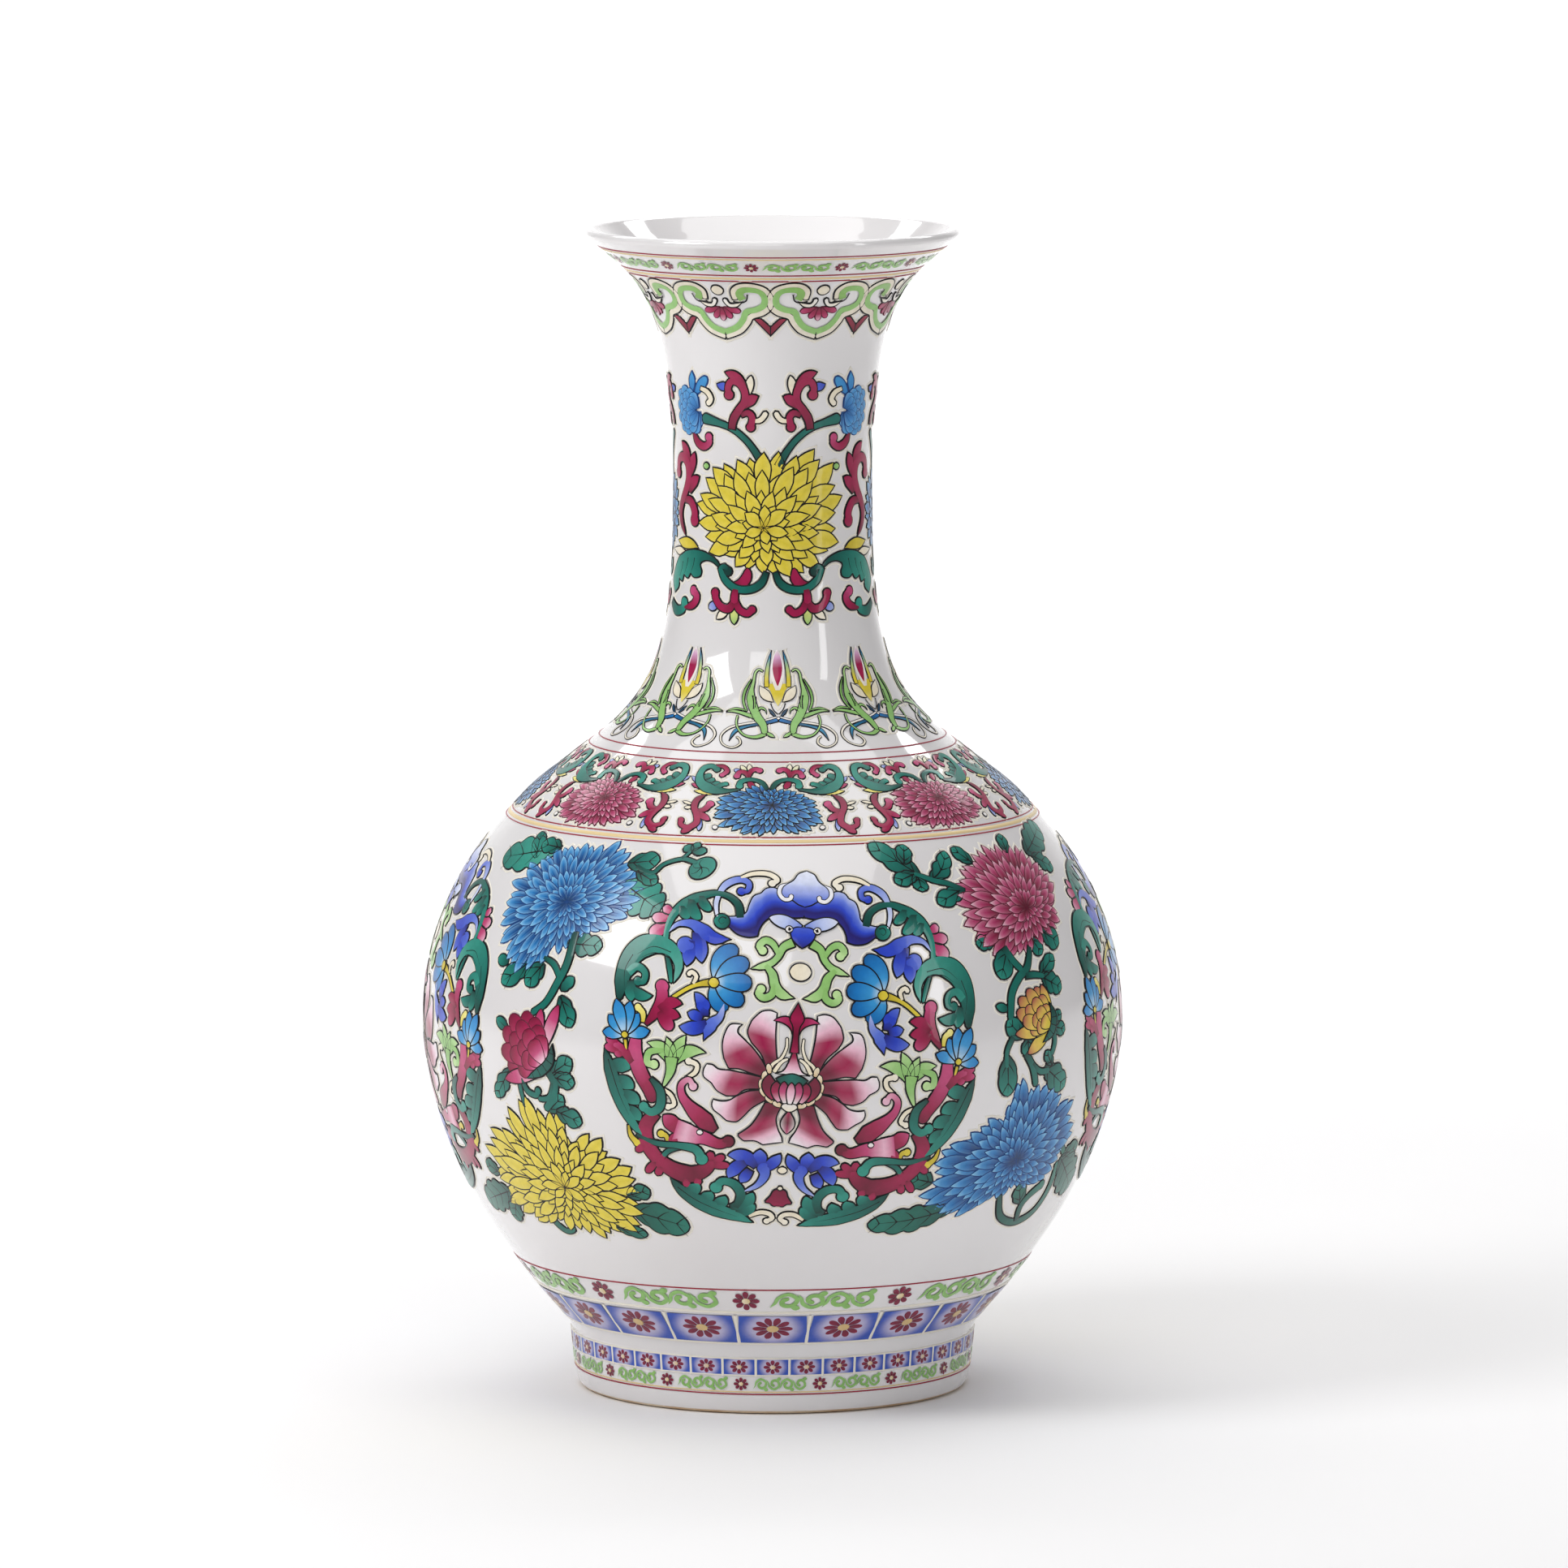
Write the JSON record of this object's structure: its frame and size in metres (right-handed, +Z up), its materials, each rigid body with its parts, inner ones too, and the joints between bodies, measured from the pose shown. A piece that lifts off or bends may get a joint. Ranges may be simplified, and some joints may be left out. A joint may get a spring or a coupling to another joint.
{
  "type": "porcelain vase",
  "caption": "Tall bottle vase with a globular belly, long neck and flared mouth on a foot ring, glazed white with raised flower enamels.",
  "frame": {"origin": "centre of the foot ring's resting face, on the floor", "axes": "+Z up along the vase's axis, -Y towards the front medallion"},
  "size_m": [0.254, 0.254, 0.4209],
  "materials": {
    "porcelain": "fired white body",
    "luting_slip": "fired slip in the joints",
    "clear_glaze": "clear high gloss glaze",
    "cream_enamel": "raised cream-gold enamel",
    "red_enamel": "gloss overglaze line",
    "light_green_enamel": "raised gloss enamel",
    "maroon_enamel": "raised gloss enamel",
    "yellow_enamel": "raised gloss enamel",
    "cobalt_enamel": "raised gloss enamel",
    "blue_enamel": "raised gloss enamel, shaded to white",
    "teal_enamel": "raised gloss enamel",
    "rose_enamel": "raised gloss enamel, shaded to white"
  },
  "bodies": {
    "root": {"foot_ring": "porcelain", "base_disc": "porcelain", "foot_luting": "luting_slip", "lower_body": "porcelain", "belly_luting": "luting_slip", "upper_body": "porcelain", "shoulder_luting": "luting_slip", "lower_neck": "porcelain", "neck_luting": "luting_slip", "upper_neck": "porcelain", "rim_luting": "luting_slip", "mouth_flare": "porcelain", "outer_glaze": "clear_glaze", "inner_glaze": "clear_glaze", "base_glaze": "clear_glaze", "rim_gold_lines": "cream_enamel", "rim_red_lines": "red_enamel", "rim_scrolls": "light_green_enamel", "rim_rosettes": "maroon_enamel", "ruyi_collar": "light_green_enamel", "ruyi_lotuses": "rose_enamel", "collar_chevrons": "maroon_enamel", "neck_yellow_flowers": "yellow_enamel", "neck_blue_flowers": "blue_enamel", "neck_rose_scrolls": "rose_enamel", "neck_stems": "teal_enamel", "bud_tips": "rose_enamel", "bud_leaves": "light_green_enamel", "shoulder_red_lines": "red_enamel", "shoulder_gold_band": "cream_enamel", "shoulder_blue_flowers": "blue_enamel", "shoulder_rose_flowers": "rose_enamel", "shoulder_leaves": "teal_enamel", "shoulder_rose_scrolls": "rose_enamel", "medallion_bats": "cobalt_enamel", "medallion_lotuses": "rose_enamel", "medallion_wreaths": "teal_enamel", "medallion_blooms": "blue_enamel", "medallion_rose_scrolls": "rose_enamel", "medallion_cobalt_scrolls": "cobalt_enamel", "medallion_green_scrolls": "light_green_enamel", "spray_blue_flowers": "blue_enamel", "spray_yellow_flowers": "yellow_enamel", "spray_rose_flowers": "rose_enamel", "spray_leaves": "teal_enamel", "body_red_line": "red_enamel", "body_scrolls": "light_green_enamel", "body_rosettes": "maroon_enamel", "body_grid_lines": "cream_enamel", "body_tiles": "cobalt_enamel", "body_tile_rosettes": "maroon_enamel", "foot_grid_lines": "cream_enamel", "foot_tiles": "cobalt_enamel", "foot_tile_rosettes": "maroon_enamel", "foot_scrolls": "light_green_enamel", "foot_rosettes": "maroon_enamel", "foot_red_line": "red_enamel"}
  },
  "joints": []
}
